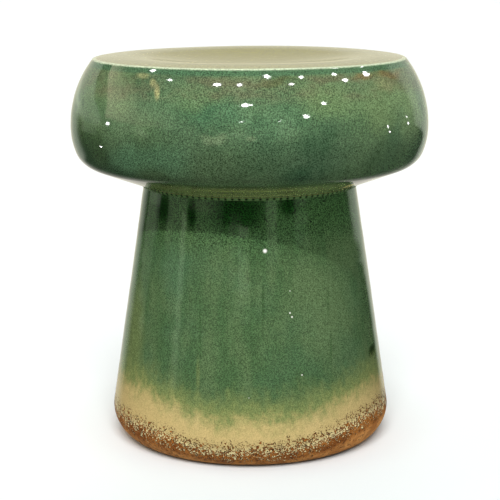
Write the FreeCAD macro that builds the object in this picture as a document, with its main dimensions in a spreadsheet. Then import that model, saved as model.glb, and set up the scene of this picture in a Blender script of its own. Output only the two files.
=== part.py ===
import FreeCAD, Part

# A hollow stoneware garden stool: a thick round seat with a dished top on a flared pedestal.
# It is built as a potter builds it, from turned pieces of clay that register in one another and
# are luted together, with reinforcing coils inside the joints and pads under the foot.
# Every clay piece is an outline in the XZ plane, radius along X and height along Z, turned about Z.
# The origin is on the floor, on the stool's axis.

import math
import os

import Sketcher

SIZES = [
    ("neck_height", 288.0, "floor to the joint between pedestal and seat"),
    ("belly_rise", 66.0, "that joint up to the widest part of the seat"),
    ("crest_rise", 76.0, "widest part of the seat up to its crest, the ring where it is highest"),
    ("seat_radius", 198.0, "the seat at its widest"),
    ("crest_inset", 60.0, "widest part of the seat in to its crest"),
    ("crown_radius", 215.0, "section radius of the crown between the dish and the rim"),
    ("dish_depth", 10.0, "crest down to the middle of the dish"),
    ("rim_round", 4.0, "section radius of the rim's edge"),
    ("shoulder_radius", 117.0, "section radius of the seat's side above its widest part"),
    ("belly_radius", 82.0, "section radius of the seat's side below its widest part"),
    ("turn_radius", 28.0, "section radius where the side turns under"),
    ("underside_slope", 20.5, "rise of the seat's underside in degrees"),
    ("seat_wall", 11.0, "thickness of the bowl under the seat"),
    ("disc_thickness", 14.0, "thickness of the seat disc"),
    ("disc_edge", 10.0, "crest down to the joint between disc and bowl"),
    ("mouth_inset", 35.0, "widest part of the seat in to the bowl's mouth"),
    ("lip_depth", 14.0, "straight inner face of the bowl's lip, down from the joint"),
    ("lip_slope", 45.0, "slope in degrees from the lip back to the wall"),
    ("neck_radius", 118.5, "outside of the pedestal where it meets the seat"),
    ("socket_step", 1.6, "socket for the spigot, cut into the pedestal's inner wall at the top"),
    ("spigot_height", 10.0, "spigot of the bowl that drops into the pedestal"),
    ("spigot_wall", 9.0, "thickness of the spigot"),
    ("pedestal_flare", 8.7, "flare of the pedestal in degrees from upright"),
    ("pedestal_wall", 11.0, "thickness of the pedestal"),
    ("heel_radius", 36.0, "section radius of the foot at its widest"),
    ("heel_turn", 53.0, "how far below level, in degrees, the heel runs before it turns under"),
    ("toe_radius", 16.0, "section radius where the foot turns under"),
    ("foot_width", 35.0, "widest part of the foot in to its inner face"),
    ("foot_face", 14.0, "height of the straight inner face of the foot"),
    ("foot_slope", 45.0, "slope in degrees from the foot's inner face to the wall"),
    ("foot_ring_width", 16.0, "width of the ring inside the foot"),
    ("foot_ring_height", 12.0, "height of the ring inside the foot"),
    ("foot_ring_round", 8.0, "section radius of the ring's inner edge"),
    ("rim_coil_radius", 8.0, "section radius of the coil under the disc"),
    ("neck_coil_radius", 8.0, "section radius of the coil under the spigot"),
    ("bead_reach", 4.0, "bead along the seat's underside"),
    ("bead_drop", 2.0, "bead down the pedestal"),
    ("bead_round", 4.0, "section radius of the bead's face"),
    ("pad_radius", 10.0, "radius of a floor pad"),
    ("pad_height", 2.0, "thickness of a floor pad"),
    ("joint_gap", 0.3, "slip joint between two curved faces"),
]
PAD_COUNT = 4


def make_sheet(doc):
    """The spreadsheet of driving sizes, one row for each: its name, its value and what it is."""
    sheet = doc.addObject("Spreadsheet::Sheet", "Sizes")
    for row, (alias, value, meaning) in enumerate(SIZES, start=1):
        sheet.set(f"A{row}", alias)
        sheet.set(f"B{row}", str(value))
        sheet.setAlias(f"B{row}", alias)
        sheet.set(f"C{row}", meaning)
    doc.recompute()
    return sheet


def on_circle(centre, radius, angle):
    """The point of a circle at an angle in radians."""
    return (centre[0] + radius * math.cos(angle), centre[1] + radius * math.sin(angle))


def direction(start, end):
    """The angle in radians of the line from start to end."""
    return math.atan2(end[1] - start[1], end[0] - start[0])


def outer_meeting(centre_a, radius_a, centre_b, radius_b):
    """The meeting point of two circles that lies further from the axis."""
    apart = math.dist(centre_a, centre_b)
    along = (apart**2 + radius_a**2 - radius_b**2) / (2 * apart)
    aside = math.sqrt(radius_a**2 - along**2)
    turn = direction(centre_a, centre_b)
    middle = on_circle(centre_a, along, turn)
    meetings = [on_circle(middle, aside, turn + side * math.pi / 2) for side in (1, -1)]
    return max(meetings)


class Stool:
    """The centres, radii and tangent angles of the stool's section, worked out from the sheet."""

    def __init__(self, sheet):
        for alias, _, _ in SIZES:
            setattr(self, alias, float(sheet.get(alias)))
        self.set_levels()
        self.set_crown()
        self.set_side()
        self.set_foot()

    def set_levels(self):
        """Heights above the floor, and radii that are set in from the widest part of the seat."""
        self.belly_height = self.neck_height + self.belly_rise
        self.crest_height = self.belly_height + self.crest_rise
        self.disc_joint = self.crest_height - self.disc_edge
        self.disc_underside = self.crest_height - self.disc_thickness
        self.crest_radius = self.seat_radius - self.crest_inset
        self.mouth_radius = self.seat_radius - self.mouth_inset

    def set_crown(self):
        """The dish and the crown around it, which meet on a tangent, and the rim's small round."""
        self.crown_centre = (self.crest_radius, self.crest_height - self.crown_radius)
        centres_apart = (self.crest_radius**2 + self.dish_depth**2) / (2 * self.dish_depth)
        self.dish_radius = centres_apart - self.crown_radius
        self.dish_centre = (0.0, self.crest_height - self.dish_depth + self.dish_radius)
        self.dish_angle = math.asin(self.crest_radius / centres_apart)
        self.shoulder_centre = (self.seat_radius - self.shoulder_radius, self.belly_height)
        self.rim_centre = outer_meeting(
            self.crown_centre, self.crown_radius - self.rim_round,
            self.shoulder_centre, self.shoulder_radius - self.rim_round,
        )
        self.crown_end = direction(self.crown_centre, self.rim_centre)
        self.rim_end = direction(self.shoulder_centre, self.rim_centre)

    def set_side(self):
        """The side from the belly down to the neck, as arcs and a line on tangents."""
        self.neck = (self.neck_radius, self.neck_height)
        self.belly_centre = (self.seat_radius - self.belly_radius, self.belly_height)
        slope = math.radians(self.underside_slope)
        # The turn's centre runs along a line parallel to the underside, turn_radius inside it.
        base = on_circle(self.neck, self.turn_radius, slope + math.pi / 2)
        offset = (base[0] - self.belly_centre[0], base[1] - self.belly_centre[1])
        along = offset[0] * math.cos(slope) + offset[1] * math.sin(slope)
        reach = self.belly_radius - self.turn_radius
        travel = math.sqrt(along**2 - offset[0] ** 2 - offset[1] ** 2 + reach**2) - along
        self.turn_centre = on_circle(base, travel, slope)
        self.belly_end = direction(self.belly_centre, self.turn_centre)
        self.turn_end = slope - math.pi / 2

    def set_foot(self):
        """The pedestal's flared side, and the heel and toe arcs that round its foot."""
        flare = math.radians(self.pedestal_flare)
        self.heel_end = -math.radians(self.heel_turn)
        centres_apart = self.heel_radius - self.toe_radius
        heel_height = self.pad_height + self.toe_radius - centres_apart * math.sin(self.heel_end)
        drop = self.neck_height - heel_height
        heel_x = self.neck_radius + (drop * math.sin(flare) - self.heel_radius) / math.cos(flare)
        self.heel_centre = (heel_x, heel_height)
        self.toe_centre = on_circle(self.heel_centre, centres_apart, self.heel_end)
        self.foot_inner_radius = heel_x + self.heel_radius - self.foot_width
        self.flare = flare
        self.socket = self.inner_wall(self.neck_height) + self.socket_step

    def shoulder_angle(self, height):
        """The angle at which the shoulder's arc reaches a height."""
        return math.asin((height - self.belly_height) / self.shoulder_radius)

    def inner_wall(self, height):
        """The radius of the pedestal's inner wall at a height."""
        wall = self.pedestal_wall / math.cos(self.flare)
        return self.neck_radius - wall + (self.neck_height - height) * math.tan(self.flare)


class Outline:
    """A closed outline in the XZ plane of a body, drawn edge after edge and then turned about Z."""

    def __init__(self, doc, name):
        self.body = doc.addObject("PartDesign::Body", name)
        self.body.Label = name
        self.sketch = self.body.newObject("Sketcher::SketchObject", name + "_outline")
        plane = next(f for f in self.body.Origin.OriginFeatures if f.Role == "XZ_Plane")
        self.sketch.AttachmentSupport = [(plane, "")]
        self.sketch.MapMode = "FlatFace"
        # For each edge: its number, the numbers of its first and last points, and if it is smooth.
        self.edges = []

    def line(self, start, end, smooth=False):
        """A straight edge. A smooth edge runs on from the edge before it on a tangent."""
        points = [FreeCAD.Vector(x, y, 0) for x, y in (start, end)]
        number = self.sketch.addGeometry(Part.LineSegment(*points), False)
        self.edges.append((number, 1, 2, smooth))
        return number

    def arc(self, centre, radius, start, end, smooth=False):
        """An arc from one angle to another, in radians, either way round."""
        circle = Part.Circle(FreeCAD.Vector(*centre, 0), FreeCAD.Vector(0, 0, 1), radius)
        curve = Part.ArcOfCircle(circle, min(start, end), max(start, end))
        number = self.sketch.addGeometry(curve, False)
        first, last = (1, 2) if start < end else (2, 1)
        self.edges.append((number, first, last, smooth))
        return number

    def join(self):
        """Ties each edge's end to the next edge's start, and the last to the first."""
        for before, after in zip(self.edges, self.edges[1:] + self.edges[:1]):
            kind = "Tangent" if after[3] else "Coincident"
            self.constrain(kind, before[0], before[2], after[0], after[1])

    def constrain(self, kind, *items):
        """Adds a constraint and gives its number."""
        return self.sketch.addConstraint(Sketcher.Constraint(kind, *items))

    def bind(self, kind, items, expression, unit=1.0):
        """A dimension whose value is an expression in the sheet's names."""
        value = float(self.sketch.evalExpression(expression))
        number = self.constrain(kind, *items, value * unit)
        self.sketch.setExpression(f"Constraints[{number}]", expression)

    def last_point(self, edge):
        """The number of the point where an edge ends, in the order it is drawn."""
        return next(last for number, _, last, _ in self.edges if number == edge)

    def end_radius(self, edge, expression):
        """Sets how far an edge's last point is from the axis."""
        self.bind("DistanceX", (-1, 1, edge, self.last_point(edge)), expression)

    def end_height(self, edge, expression):
        """Sets how high an edge's last point is above the floor."""
        self.bind("DistanceY", (-1, 1, edge, self.last_point(edge)), expression)

    def centre_radius(self, arc, expression):
        self.bind("DistanceX", (-1, 1, arc, 3), expression)

    def centre_height(self, arc, expression):
        self.bind("DistanceY", (-1, 1, arc, 3), expression)

    def same_centre(self, arc, other):
        self.constrain("Coincident", arc, 3, other, 3)

    def section_radius(self, arc, expression):
        self.bind("Radius", (arc,), expression)

    def level(self, *edges):
        for edge in edges:
            self.constrain("Horizontal", edge)

    def upright(self, *edges):
        for edge in edges:
            self.constrain("Vertical", edge)

    def angle(self, edge, expression):
        """Sets the angle in degrees of a line from the X axis."""
        self.bind("Angle", (edge,), expression, math.pi / 180)

    def turn(self):
        """Turns the finished outline about Z into the body's solid."""
        self.join()
        solid = self.body.newObject("PartDesign::Revolution", self.body.Name + "_turned")
        solid.Profile = self.sketch
        solid.ReferenceAxis = (self.sketch, ["V_Axis"])
        solid.Angle = 360
        self.body.Tip = solid
        return self.body


SHOULDER_CENTRE = "Sizes.seat_radius - Sizes.shoulder_radius"
BELLY_HEIGHT = "Sizes.neck_height + Sizes.belly_rise"
CREST_HEIGHT = BELLY_HEIGHT + " + Sizes.crest_rise"
CREST_RADIUS = "Sizes.seat_radius - Sizes.crest_inset"
DISC_JOINT = CREST_HEIGHT + " - Sizes.disc_edge"
DISC_UNDERSIDE = CREST_HEIGHT + " - Sizes.disc_thickness"
MOUTH_RADIUS = "Sizes.seat_radius - Sizes.mouth_inset"
SPIGOT_END = "Sizes.neck_height - Sizes.spigot_height"
FLARE = "(Sizes.pedestal_flare * 1 deg)"
UNDERSIDE = "(Sizes.underside_slope * 1 deg)"
SOCKET = f"Sizes.neck_radius - Sizes.pedestal_wall / cos{FLARE} + Sizes.socket_step"
HEEL_HEIGHT = (
    "Sizes.pad_height + Sizes.toe_radius"
    " + (Sizes.heel_radius - Sizes.toe_radius) * sin(Sizes.heel_turn * 1 deg)"
)
HEEL_DROP = f"(Sizes.neck_height - ({HEEL_HEIGHT}))"
HEEL_CENTRE = f"Sizes.neck_radius + ({HEEL_DROP} * sin{FLARE} - Sizes.heel_radius) / cos{FLARE}"
FOOT_INNER = HEEL_CENTRE + " + Sizes.heel_radius - Sizes.foot_width"


def make_seat_disc(doc, stool):
    """The dished top slab. Its edge is the stool's rim, and its plug drops into the bowl's mouth."""
    plug = stool.mouth_radius - stool.joint_gap
    joint_angle = stool.shoulder_angle(stool.disc_joint)
    joint = on_circle(stool.shoulder_centre, stool.shoulder_radius, joint_angle)
    quarter = math.pi / 2
    dish_end = stool.dish_angle - quarter
    under_dish = stool.dish_radius + stool.disc_thickness
    under_crown = stool.crown_radius - stool.disc_thickness
    middle = (0.0, stool.crest_height - stool.dish_depth)
    below_middle = (0.0, middle[1] - stool.disc_thickness)
    flat_end = (stool.crest_radius, stool.disc_underside)

    out = Outline(doc, "seat_disc")
    dish = out.arc(stool.dish_centre, stool.dish_radius, -quarter, dish_end)
    crown = out.arc(stool.crown_centre, stool.crown_radius, dish_end + math.pi, stool.crown_end, smooth=True)
    rim = out.arc(stool.rim_centre, stool.rim_round, stool.crown_end, stool.rim_end, smooth=True)
    edge = out.arc(stool.shoulder_centre, stool.shoulder_radius, stool.rim_end, joint_angle, smooth=True)
    ledge = out.line(joint, (plug, stool.disc_joint))
    side = out.line((plug, stool.disc_joint), (plug, stool.disc_underside))
    flat = out.line((plug, stool.disc_underside), flat_end)
    crown_below = out.arc(stool.crown_centre, under_crown, quarter, dish_end + math.pi, smooth=True)
    dish_below = out.arc(stool.dish_centre, under_dish, dish_end, -quarter, smooth=True)
    axis = out.line(below_middle, middle)

    out.constrain("PointOnObject", dish, 1, -2)
    out.constrain("PointOnObject", dish, 3, -2)
    out.end_height(axis, CREST_HEIGHT + " - Sizes.dish_depth")
    out.centre_radius(crown, CREST_RADIUS)
    out.centre_height(crown, CREST_HEIGHT + " - Sizes.crown_radius")
    out.section_radius(crown, "Sizes.crown_radius")
    out.section_radius(rim, "Sizes.rim_round")
    out.centre_radius(edge, SHOULDER_CENTRE)
    out.centre_height(edge, BELLY_HEIGHT)
    out.section_radius(edge, "Sizes.shoulder_radius")
    out.level(ledge, flat)
    out.upright(side, axis)
    out.end_height(ledge, DISC_JOINT)
    out.end_radius(ledge, MOUTH_RADIUS + " - Sizes.joint_gap")
    out.end_height(side, DISC_UNDERSIDE)
    out.same_centre(crown_below, crown)
    out.same_centre(dish_below, dish)
    return out.turn()


def make_seat_bowl(doc, stool):
    """The bowl under the disc: the bulging side, the sloping underside and the throat's spigot."""
    wall = stool.seat_wall
    joint_angle = stool.shoulder_angle(stool.disc_joint)
    joint = on_circle(stool.shoulder_centre, stool.shoulder_radius, joint_angle)
    underside_start = on_circle(stool.turn_centre, stool.turn_radius, stool.turn_end)
    spigot = stool.socket - stool.joint_gap
    throat = spigot - stool.spigot_wall
    spigot_end = stool.neck_height - stool.spigot_height
    slope = math.radians(stool.underside_slope)
    floor_start = on_circle(stool.turn_centre, stool.turn_radius - wall, stool.turn_end)
    throat_top = (throat, floor_start[1] - (floor_start[0] - throat) * math.tan(slope))
    lip = (stool.mouth_radius, stool.disc_joint - stool.lip_depth)
    # The lip's slope runs down from the lip until it meets the inside of the shoulder.
    lean = -math.radians(stool.lip_slope)
    inside = stool.shoulder_radius - wall
    offset = (lip[0] - stool.shoulder_centre[0], lip[1] - stool.shoulder_centre[1])
    along = offset[0] * math.cos(lean) + offset[1] * math.sin(lean)
    travel = math.sqrt(along**2 - offset[0] ** 2 - offset[1] ** 2 + inside**2) - along
    lip_foot = on_circle(lip, travel, lean)
    lip_angle = direction(stool.shoulder_centre, lip_foot)

    out = Outline(doc, "seat_bowl")
    shoulder = out.arc(stool.shoulder_centre, stool.shoulder_radius, joint_angle, 0.0)
    belly = out.arc(stool.belly_centre, stool.belly_radius, 0.0, stool.belly_end, smooth=True)
    turn = out.arc(stool.turn_centre, stool.turn_radius, stool.belly_end, stool.turn_end, smooth=True)
    underside = out.line(underside_start, stool.neck, smooth=True)
    seat = out.line(stool.neck, (spigot, stool.neck_height))
    spigot_side = out.line((spigot, stool.neck_height), (spigot, spigot_end))
    spigot_face = out.line((spigot, spigot_end), (throat, spigot_end))
    throat_side = out.line((throat, spigot_end), throat_top)
    floor = out.line(throat_top, floor_start)
    inner_turn = out.arc(
        stool.turn_centre, stool.turn_radius - wall, stool.turn_end, stool.belly_end, smooth=True
    )
    inner_belly = out.arc(stool.belly_centre, stool.belly_radius - wall, stool.belly_end, 0.0, smooth=True)
    inner_shoulder = out.arc(stool.shoulder_centre, inside, 0.0, lip_angle, smooth=True)
    lip_under = out.line(lip_foot, lip)
    mouth = out.line(lip, (stool.mouth_radius, stool.disc_joint))
    ledge = out.line((stool.mouth_radius, stool.disc_joint), joint)

    out.centre_radius(shoulder, SHOULDER_CENTRE)
    out.centre_height(shoulder, BELLY_HEIGHT)
    out.section_radius(shoulder, "Sizes.shoulder_radius")
    out.centre_height(belly, BELLY_HEIGHT)
    out.section_radius(belly, "Sizes.belly_radius")
    out.section_radius(turn, "Sizes.turn_radius")
    out.end_radius(underside, "Sizes.neck_radius")
    out.end_height(underside, "Sizes.neck_height")
    out.angle(underside, "Sizes.underside_slope + 180")
    out.level(seat, spigot_face, ledge)
    out.upright(spigot_side, throat_side, mouth)
    out.end_radius(seat, SOCKET + " - Sizes.joint_gap")
    out.end_height(spigot_side, SPIGOT_END)
    out.end_radius(spigot_face, SOCKET + " - Sizes.joint_gap - Sizes.spigot_wall")
    out.constrain("Parallel", floor, underside)
    out.same_centre(inner_turn, turn)
    out.same_centre(inner_belly, belly)
    out.same_centre(inner_shoulder, shoulder)
    out.section_radius(inner_shoulder, "Sizes.shoulder_radius - Sizes.seat_wall")
    out.end_radius(lip_under, MOUTH_RADIUS)
    out.end_height(lip_under, DISC_JOINT + " - Sizes.lip_depth")
    out.angle(lip_under, "180 - Sizes.lip_slope")
    out.end_height(mouth, DISC_JOINT)
    return out.turn()


def make_coil(doc, name, corner, wall_slope, radius, corner_at, slope_at, radius_at):
    """A coil of clay pressed into a corner: a level top, a side against the wall, a round face."""
    down = wall_slope - math.pi / 2
    side_end = on_circle(corner, radius, down)
    out = Outline(doc, name)
    top = out.line((corner[0] - radius, corner[1]), corner)
    side = out.line(corner, side_end)
    face = out.arc(corner, radius, down, -math.pi)
    out.level(top)
    out.constrain("Coincident", face, 3, top, 2)
    out.end_radius(top, corner_at[0])
    out.end_height(top, corner_at[1])
    out.angle(side, slope_at + " - 90")
    out.section_radius(face, radius_at)
    return out.turn()


def make_rim_coil(doc, stool):
    """The coil under the disc's plug, against the straight face of the bowl's lip."""
    corner = (stool.mouth_radius - stool.joint_gap, stool.disc_underside)
    corner_at = (MOUTH_RADIUS + " - Sizes.joint_gap", DISC_UNDERSIDE)
    radius = stool.rim_coil_radius
    return make_coil(doc, "rim_coil", corner, 0.0, radius, corner_at, "0", "Sizes.rim_coil_radius")


def make_neck_coil(doc, stool):
    """The coil under the bowl's spigot, against the pedestal's sloping inner wall."""
    height = stool.neck_height - stool.spigot_height
    corner = (stool.inner_wall(height) - stool.joint_gap / math.cos(stool.flare), height)
    wall_at = (
        f"Sizes.neck_radius - (Sizes.pedestal_wall + Sizes.joint_gap) / cos{FLARE}"
        f" + Sizes.spigot_height * tan{FLARE}"
    )
    return make_coil(
        doc, "neck_coil", corner, stool.flare, stool.neck_coil_radius,
        (wall_at, SPIGOT_END), "Sizes.pedestal_flare", "Sizes.neck_coil_radius",
    )


def make_pedestal(doc, stool):
    """The flared hollow pedestal, with a socket at its neck and a thick rolled foot."""
    socket = stool.socket
    side_end = on_circle(stool.heel_centre, stool.heel_radius, stool.flare)
    land_start = (stool.toe_centre[0], stool.pad_height)
    land_end = (stool.foot_inner_radius, stool.pad_height)
    face_end = (stool.foot_inner_radius, stool.pad_height + stool.foot_face)
    # The foot's inner slope rises from the face until it meets the inner wall.
    slope = math.tan(math.radians(stool.foot_slope))
    lean = math.tan(stool.flare)
    run = (stool.inner_wall(face_end[1]) - face_end[0]) / (1 + slope * lean)
    slope_end = (face_end[0] + run, face_end[1] + run * slope)
    socket_floor = (socket, stool.neck_height - stool.socket_step / lean)

    out = Outline(doc, "pedestal")
    top = out.line((socket, stool.neck_height), stool.neck)
    side = out.line(stool.neck, side_end)
    heel = out.arc(stool.heel_centre, stool.heel_radius, stool.flare, stool.heel_end, smooth=True)
    toe = out.arc(stool.toe_centre, stool.toe_radius, stool.heel_end, -math.pi / 2, smooth=True)
    land = out.line(land_start, land_end, smooth=True)
    face = out.line(land_end, face_end)
    foot_slope = out.line(face_end, slope_end)
    wall = out.line(slope_end, socket_floor)
    socket_side = out.line(socket_floor, (socket, stool.neck_height))

    out.level(top, land)
    out.upright(face, socket_side)
    out.end_radius(top, "Sizes.neck_radius")
    out.end_height(top, "Sizes.neck_height")
    out.angle(side, "Sizes.pedestal_flare - 90")
    out.centre_height(heel, HEEL_HEIGHT)
    out.section_radius(heel, "Sizes.heel_radius")
    out.section_radius(toe, "Sizes.toe_radius")
    out.end_height(land, "Sizes.pad_height")
    out.end_radius(land, FOOT_INNER)
    out.end_height(face, "Sizes.pad_height + Sizes.foot_face")
    out.angle(foot_slope, "Sizes.foot_slope")
    out.constrain("Parallel", wall, side)
    out.bind("Distance", (wall, 1, side), "Sizes.pedestal_wall")
    out.end_radius(socket_side, SOCKET)
    return out.turn()


def make_foot_ring(doc, stool):
    """The ring inside the rolled foot, which widens the land that the pads are stuck to."""
    outer = stool.foot_inner_radius - stool.joint_gap
    inner = outer - stool.foot_ring_width
    low = stool.pad_height
    high = low + stool.foot_ring_height
    rounding = stool.foot_ring_round
    round_centre = (inner + rounding, high - rounding)

    out = Outline(doc, "foot_ring")
    bottom = out.line((inner, low), (outer, low))
    side = out.line((outer, low), (outer, high))
    top = out.line((outer, high), (round_centre[0], high))
    shoulder = out.arc(round_centre, rounding, math.pi / 2, math.pi, smooth=True)
    inside = out.line((inner, round_centre[1]), (inner, low), smooth=True)

    out.level(bottom, top)
    out.upright(side, inside)
    out.end_radius(bottom, FOOT_INNER + " - Sizes.joint_gap")
    out.end_height(bottom, "Sizes.pad_height")
    out.end_height(side, "Sizes.pad_height + Sizes.foot_ring_height")
    out.section_radius(shoulder, "Sizes.foot_ring_round")
    out.end_radius(inside, FOOT_INNER + " - Sizes.joint_gap - Sizes.foot_ring_width")
    return out.turn()


def make_neck_bead(doc, stool):
    """The thin bead that covers the joint at the neck, in the corner under the seat."""
    flare = stool.flare
    slope = math.radians(stool.underside_slope)
    # The corner lies one joint gap from the seat's underside and one from the pedestal's side.
    spread = stool.joint_gap / math.cos(slope - flare)
    corner = (
        stool.neck_radius + spread * (math.sin(flare) + math.cos(slope)),
        stool.neck_height + spread * (math.sin(slope) - math.cos(flare)),
    )
    upper = on_circle(corner, stool.bead_reach, slope)
    lower = on_circle(corner, stool.bead_drop, flare - math.pi / 2)
    chord = math.dist(upper, lower)
    sagitta_line = direction(lower, upper) + math.pi / 2
    depth = math.sqrt(stool.bead_round**2 - (chord / 2) ** 2)
    middle = ((upper[0] + lower[0]) / 2, (upper[1] + lower[1]) / 2)
    centre = on_circle(middle, depth, sagitta_line)

    out = Outline(doc, "neck_bead")
    top = out.line(corner, upper)
    face = out.arc(centre, stool.bead_round, direction(centre, upper), direction(centre, lower))
    side = out.line(lower, corner)
    spread_at = f"Sizes.joint_gap / cos({UNDERSIDE} - {FLARE})"
    out.end_radius(side, f"Sizes.neck_radius + {spread_at} * (sin{FLARE} + cos{UNDERSIDE})")
    out.end_height(side, f"Sizes.neck_height + {spread_at} * (sin{UNDERSIDE} - cos{FLARE})")
    out.angle(top, "Sizes.underside_slope")
    out.angle(side, "Sizes.pedestal_flare + 90")
    out.bind("Distance", (top,), "Sizes.bead_reach")
    out.bind("Distance", (side,), "Sizes.bead_drop")
    out.section_radius(face, "Sizes.bead_round")
    return out.turn()


def make_floor_pads(doc):
    """Round pads under the foot, each astride the joint between the foot and its ring."""
    pads = []
    for number in range(PAD_COUNT):
        name = f"floor_pad_{number + 1}"
        pad = doc.addObject("Part::Cylinder", name)
        pad.Label = name
        angle = (number + 0.5) * 360 / PAD_COUNT
        pad.setExpression("Radius", "Sizes.pad_radius")
        pad.setExpression("Height", "Sizes.pad_height")
        pad.setExpression("Placement.Base.x", f"({FOOT_INNER}) * cos({angle} deg)")
        pad.setExpression("Placement.Base.y", f"({FOOT_INNER}) * sin({angle} deg)")
        pads.append(pad)
    return pads


def check(doc, pieces):
    """Stops on a failed object, an outline that isn't fully fixed, or a shape that isn't one solid."""
    for item in doc.Objects:
        if "Invalid" in item.State or "Error" in item.State:
            raise RuntimeError(f"{item.Label} failed: {item.State}")
        if item.isDerivedFrom("Sketcher::SketchObject"):
            loose = item.solve() != 0 or item.DoF != 0
            if loose or item.RedundantConstraints or item.ConflictingConstraints:
                raise RuntimeError(f"{item.Label} is not fixed by its dimensions")
    for piece in pieces:
        shape = piece.Shape
        if shape.isNull() or not shape.isValid() or len(shape.Solids) != 1:
            raise RuntimeError(f"{piece.Label} is not one valid solid")


def main():
    doc = FreeCAD.newDocument("garden_stool")
    stool = Stool(make_sheet(doc))
    makers = [
        make_seat_disc, make_seat_bowl, make_rim_coil, make_neck_bead,
        make_neck_coil, make_pedestal, make_foot_ring,
    ]
    pieces = [maker(doc, stool) for maker in makers]
    pieces += make_floor_pads(doc)
    doc.recompute()
    check(doc, pieces)
    os.makedirs("parts", exist_ok=True)
    for piece in pieces:
        piece.Shape.exportStep(f"parts/{piece.Label}.step")
        print(piece.Label, round(piece.Shape.Volume), "mm3")


main()
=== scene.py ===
import math

import bpy
from mathutils import Matrix, Vector, noise
from mathutils.bvhtree import BVHTree


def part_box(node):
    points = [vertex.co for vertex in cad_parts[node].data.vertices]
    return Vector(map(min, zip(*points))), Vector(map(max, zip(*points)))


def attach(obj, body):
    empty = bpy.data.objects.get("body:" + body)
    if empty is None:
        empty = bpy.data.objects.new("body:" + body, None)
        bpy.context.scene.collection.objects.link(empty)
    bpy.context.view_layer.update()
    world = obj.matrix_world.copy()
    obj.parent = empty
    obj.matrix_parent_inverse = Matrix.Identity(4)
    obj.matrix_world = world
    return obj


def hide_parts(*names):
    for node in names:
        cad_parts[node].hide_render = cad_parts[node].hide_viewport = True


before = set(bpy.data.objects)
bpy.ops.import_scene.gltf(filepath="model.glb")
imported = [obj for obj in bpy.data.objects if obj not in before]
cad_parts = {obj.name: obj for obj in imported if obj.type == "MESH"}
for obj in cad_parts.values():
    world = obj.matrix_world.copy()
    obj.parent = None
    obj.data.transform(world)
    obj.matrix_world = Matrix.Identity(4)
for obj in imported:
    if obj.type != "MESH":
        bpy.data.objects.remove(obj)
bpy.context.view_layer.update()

# A glazed stoneware garden stool. Every clay piece is turned: an outline of radius and height is
# carried round the Z axis, and the glazed skin gets the slight waviness of thrown clay.
# All sizes are in metres. Heights and the widest radii are read from the frame.

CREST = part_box("seat_disc")[1].z
SEAT_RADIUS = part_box("seat_bowl")[1].x
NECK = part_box("pedestal")[1].z
FOOT_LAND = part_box("pedestal")[0].z
FOOT_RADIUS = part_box("pedestal")[1].x

BELLY_RISE = 0.066
CREST_INSET = 0.060
CROWN_RADIUS = 0.215
DISH_DEPTH = 0.010
RIM_ROUND = 0.004
SHOULDER_RADIUS = 0.117
BELLY_RADIUS = 0.082
TURN_RADIUS = 0.028
UNDERSIDE_SLOPE = math.radians(20.5)
SEAT_WALL = 0.011
DISC_THICKNESS = 0.014
DISC_EDGE = 0.010
MOUTH_INSET = 0.035
LIP_DEPTH = 0.014
NECK_RADIUS = 0.1185
SOCKET_STEP = 0.0016
SPIGOT_HEIGHT = 0.010
SPIGOT_WALL = 0.009
FLARE = math.radians(8.7)
PEDESTAL_WALL = 0.011
HEEL_RADIUS = 0.036
HEEL_TURN = math.radians(53)
TOE_RADIUS = 0.016
FOOT_WIDTH = 0.035
FOOT_FACE = 0.014
RING_WIDTH = 0.016
RING_ROUND = 0.008
COIL_RADIUS = 0.008
BEAD_REACH = 0.004
BEAD_DROP = 0.002
BEAD_ROUND = 0.004
JOINT_GAP = 0.0003
PAD_SOFTENING = 0.0006
DIMPLES = 104
DIMPLE_DEPTH = 0.0007
DIMPLE_RADIUS = 0.0018

SKIN_STEP = 0.0018
PLAIN_STEP = 0.004
SEAT_SEGMENTS = 420
PEDESTAL_SEGMENTS = 384
COIL_SEGMENTS = 240


def on_circle(centre, radius, angle):
    return (centre[0] + radius * math.cos(angle), centre[1] + radius * math.sin(angle))


def direction(start, end):
    return math.atan2(end[1] - start[1], end[0] - start[0])


def arc(centre, radius, start, end, step=SKIN_STEP):
    """Points along an arc from one angle to another, at most a step apart."""
    count = max(2, math.ceil(abs(end - start) * radius / step))
    return [on_circle(centre, radius, start + (end - start) * i / count) for i in range(count + 1)]


def line(start, end, step=PLAIN_STEP):
    """Points along a straight line, at most a step apart."""
    count = max(1, math.ceil(math.dist(start, end) / step))
    return [tuple(a + (b - a) * i / count for a, b in zip(start, end)) for i in range(count + 1)]


def meeting(centre_a, radius_a, centre_b, radius_b):
    """The meeting point of two circles that lies further from the axis."""
    apart = math.dist(centre_a, centre_b)
    along = (apart**2 + radius_a**2 - radius_b**2) / (2 * apart)
    aside = math.sqrt(radius_a**2 - along**2)
    turn = direction(centre_a, centre_b)
    middle = on_circle(centre_a, along, turn)
    return max(on_circle(middle, aside, turn + side * math.pi / 2) for side in (1, -1))


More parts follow.
